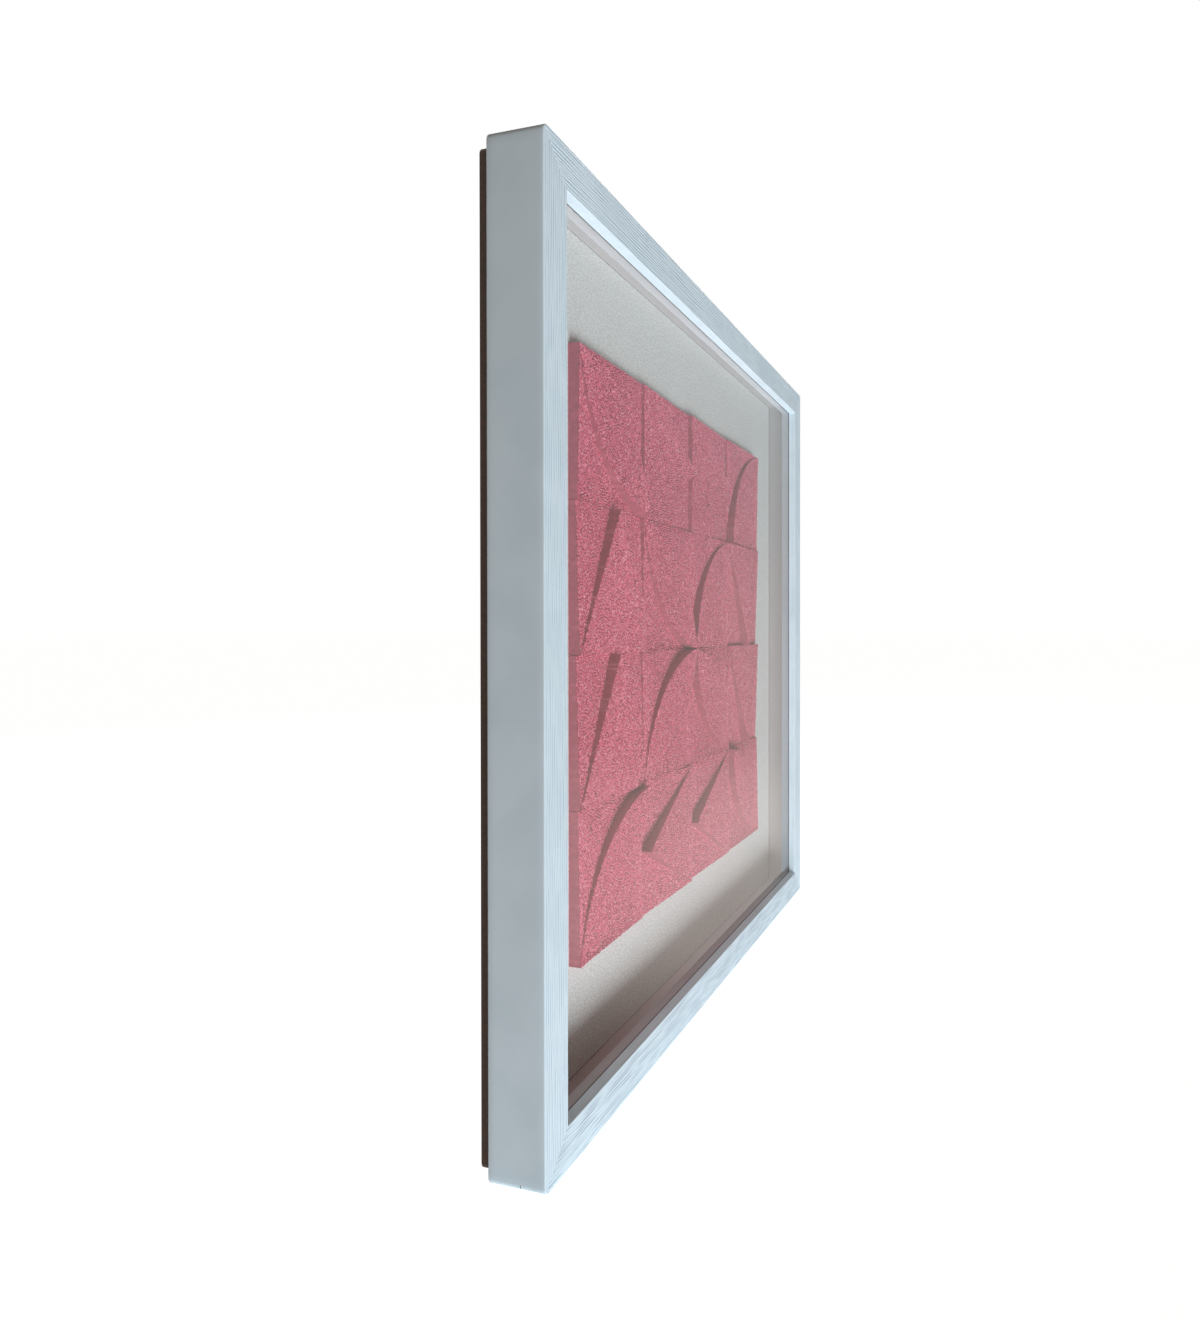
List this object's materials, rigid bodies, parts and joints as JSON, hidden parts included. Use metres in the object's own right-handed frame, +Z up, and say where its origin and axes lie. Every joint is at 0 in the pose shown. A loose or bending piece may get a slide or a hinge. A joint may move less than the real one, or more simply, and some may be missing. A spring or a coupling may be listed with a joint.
{
  "type": "framed quilled paper art",
  "caption": "Square white woodgrain box frame with a glass front, holding a relief of packed quilled paper strips on a white mount board, made to hang on a wall or stand on its edge.",
  "frame": {"origin": "middle of the bottom of the whole object, midway between the front face and the wall side of the pads", "axes": "+X to the right along the front, +Y from the front towards the wall, +Z up"},
  "size_m": [0.5, 0.04, 0.5],
  "materials": {
    "frame_white": "white satin lacquer over embossed grain",
    "spacer_card": "matt white card",
    "quilled_paper": "matt pink paper on edge",
    "glass": "polished",
    "mount_card": "matt white, fine canvas grain",
    "panel_brown": "matt dark brown board",
    "steel": "zinc plated",
    "pad_rubber": "matt"
  },
  "bodies": {
    "root": {"back_panel": "panel_brown", "corner_wedges": "steel", "field_11": "quilled_paper", "field_12": "quilled_paper", "field_13": "quilled_paper", "field_14": "quilled_paper", "field_21": "quilled_paper", "field_22": "quilled_paper", "field_23": "quilled_paper", "field_24": "quilled_paper", "field_31": "quilled_paper", "field_32": "quilled_paper", "field_33": "quilled_paper", "field_34": "quilled_paper", "field_41": "quilled_paper", "field_42": "quilled_paper", "field_43": "quilled_paper", "field_44": "quilled_paper", "glass_pane": "glass", "goose_12": "quilled_paper", "goose_13": "quilled_paper", "goose_21": "quilled_paper", "goose_24": "quilled_paper", "goose_31": "quilled_paper", "goose_34": "quilled_paper", "goose_42": "quilled_paper", "goose_43": "quilled_paper", "hanger_left": "steel", "hanger_right": "steel", "hanger_screws": "steel", "leaf_11": "quilled_paper", "leaf_14": "quilled_paper", "leaf_22": "quilled_paper", "leaf_23": "quilled_paper", "leaf_32": "quilled_paper", "leaf_33": "quilled_paper", "leaf_41": "quilled_paper", "leaf_44": "quilled_paper", "mount_board": "mount_card", "panel_screws": "steel", "rail_bottom": "frame_white", "rail_left": "frame_white", "rail_right": "frame_white", "rail_top": "frame_white", "spacer_bottom": "spacer_card", "spacer_left": "spacer_card", "spacer_right": "spacer_card", "spacer_top": "spacer_card", "wall_pads": "pad_rubber"}
  },
  "joints": []
}
